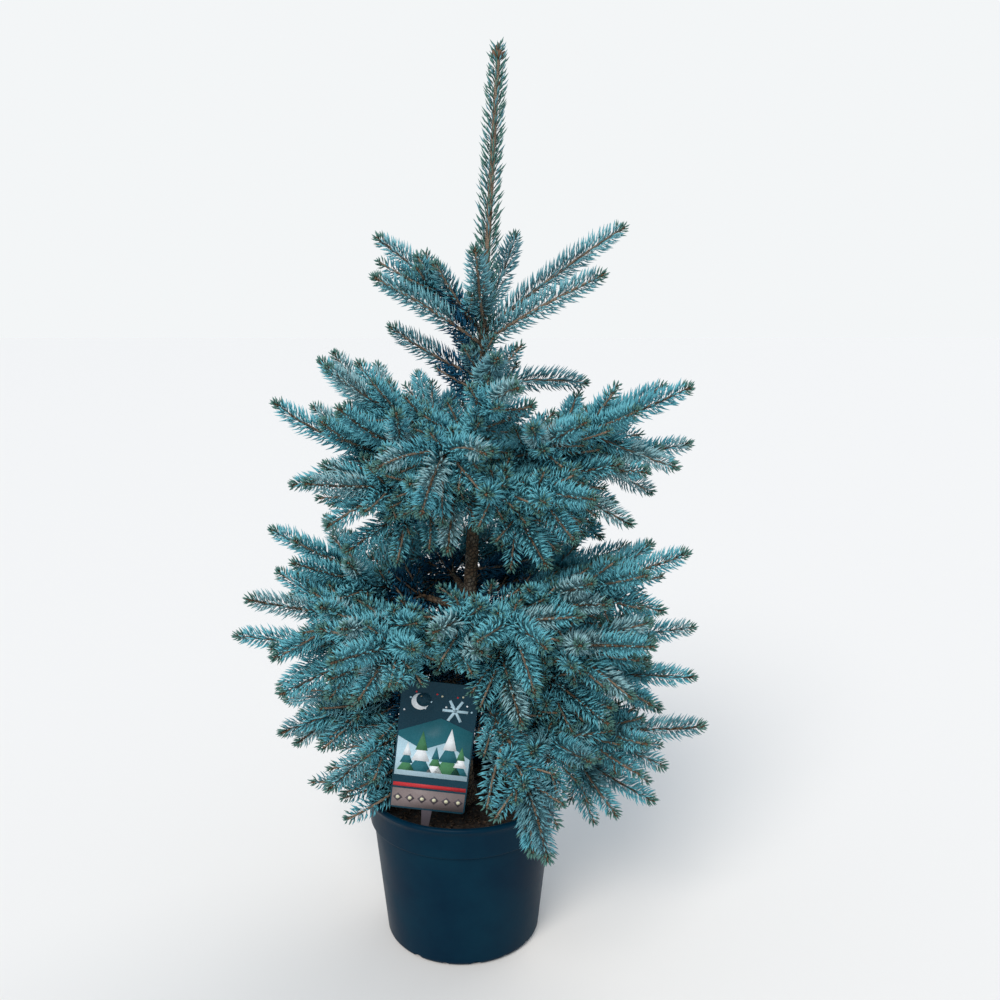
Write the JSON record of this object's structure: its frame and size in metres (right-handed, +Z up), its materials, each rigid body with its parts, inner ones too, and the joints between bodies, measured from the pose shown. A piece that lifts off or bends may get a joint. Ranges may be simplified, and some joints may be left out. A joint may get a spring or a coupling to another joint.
{
  "type": "potted blue spruce tree",
  "caption": "Young blue spruce standing in a round nursery pot with a printed picture tag: an open conical crown of upswept, blue-green needle-clad boughs",
  "frame": {"origin": "the middle of the pot's flat underside, where it stands on the ground", "axes": "+Z up the trunk; -Y towards the front, where the picture tag is; +X to the right seen from the front"},
  "size_m": [0.5118, 0.4778, 1.005],
  "materials": {
    "pot": "matt dark blue-black moulded plastic",
    "soil": "damp fibrous compost with bark chips",
    "picture_tag": "thin glossy printed card",
    "bark": "rough scaly grey-brown bark, orange-tan on the young shoots",
    "needles": "stiff waxy blue-green needles"
  },
  "bodies": {
    "root": {"pot": "pot", "soil": "soil", "picture_tag": "picture_tag", "trunk": "bark", "broad_bough_1": "bark", "broad_bough_2": "bark", "broad_bough_3": "bark", "broad_bough_4": "bark", "broad_bough_5": "bark", "broad_bough_6": "bark", "broad_bough_7": "bark", "broad_bough_8": "bark", "broad_bough_9": "bark", "broad_bough_10": "bark", "low_bough_1": "bark", "low_bough_2": "bark", "low_bough_3": "bark", "low_bough_4": "bark", "low_bough_5": "bark", "low_bough_6": "bark", "low_bough_7": "bark", "low_bough_8": "bark", "broad_mass_1": "needles", "broad_mass_2": "needles", "broad_mass_3": "needles", "broad_mass_4": "needles", "broad_mass_5": "needles", "broad_mass_6": "needles", "broad_mass_7": "needles", "broad_mass_8": "needles", "broad_mass_9": "needles", "broad_mass_10": "needles", "leader_needles": "needles", "low_mass_1": "needles", "low_mass_2": "needles", "low_mass_3": "needles", "low_mass_4": "needles", "low_mass_5": "needles", "low_mass_6": "needles", "low_mass_7": "needles", "low_mass_8": "needles", "middle_mass_1": "needles", "middle_mass_2": "needles", "middle_mass_3": "needles", "middle_mass_4": "needles", "middle_mass_5": "needles", "middle_mass_6": "needles", "middle_mass_7": "needles", "middle_mass_8": "needles", "middle_mass_9": "needles", "top_mass_1": "needles", "top_mass_2": "needles", "top_mass_3": "needles", "top_mass_4": "needles", "top_mass_5": "needles", "top_mass_6": "needles", "upper_mass_1": "needles", "upper_mass_2": "needles", "upper_mass_3": "needles", "upper_mass_4": "needles"}
  },
  "joints": []
}
